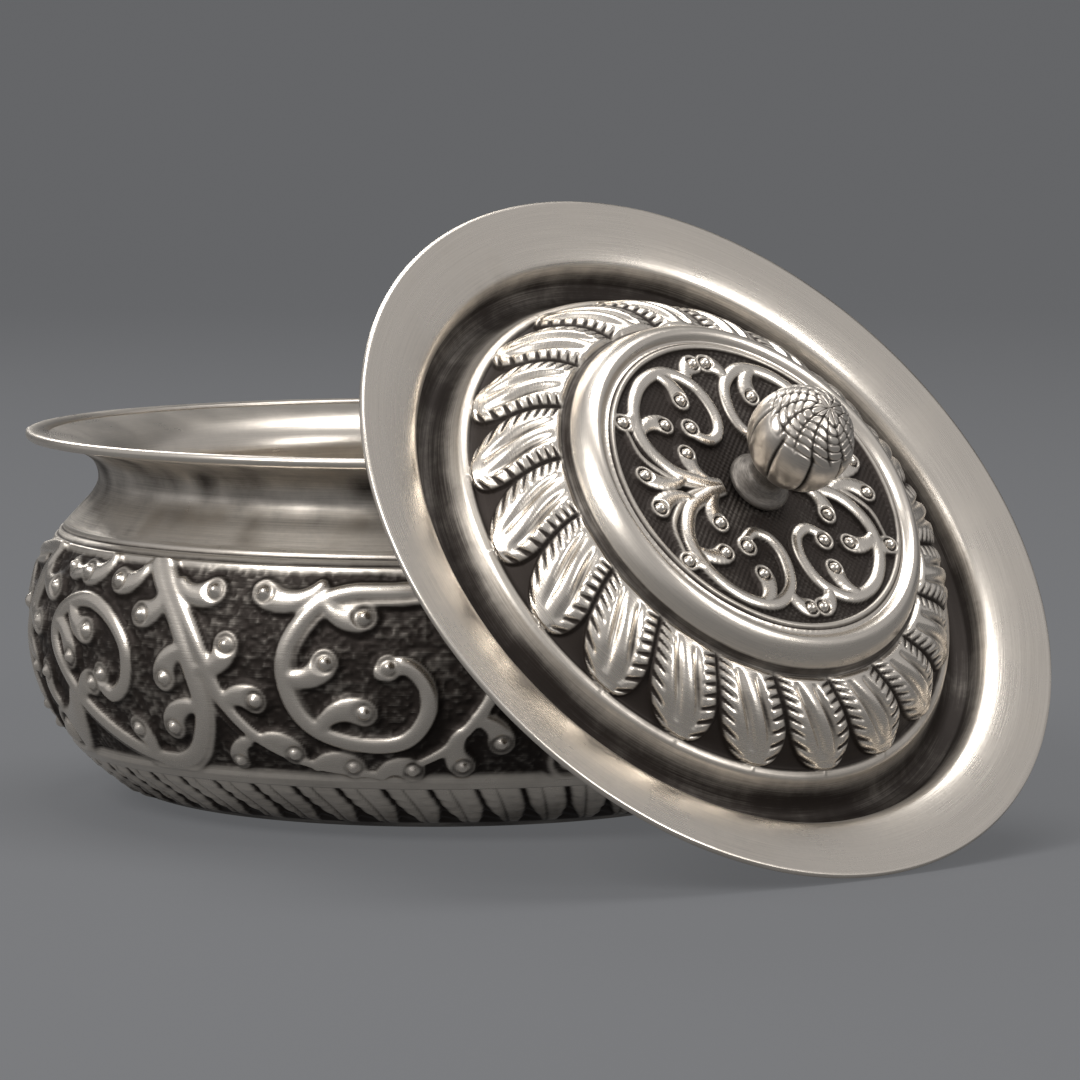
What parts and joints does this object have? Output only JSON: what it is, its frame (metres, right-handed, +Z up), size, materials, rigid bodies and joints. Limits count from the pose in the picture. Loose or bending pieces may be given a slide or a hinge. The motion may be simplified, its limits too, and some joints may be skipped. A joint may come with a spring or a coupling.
{
  "type": "round box",
  "caption": "Squat round chased metal box with a wide flared lip, and a domed lid with a ball knob that leans against it.",
  "frame": {"origin": "middle of the bowl's flat base", "axes": "+Z up along the bowl's axis, -Y towards the picture's viewer, +X to the viewer's right"},
  "size_m": [0.1838, 0.2009, 0.1105],
  "materials": {
    "silver": "brushed pale silver-coloured alloy with dark patina in the chasing",
    "knob_silver": "cast silver-coloured alloy, dark in the carving",
    "fixing": "plain turned alloy"
  },
  "bodies": {
    "bowl": {"bowl_body": "silver"},
    "lid": {"lid_shell": "silver", "knob": "knob_silver", "knob_stud": "fixing", "knob_washer": "fixing", "knob_nut": "fixing"}
  },
  "joints": [
    {"name": "lid_lift", "type": "slide", "parent": "bowl", "child": "lid", "axis": [0, 0, 1], "range_m": [0, 0.12]}
  ]
}
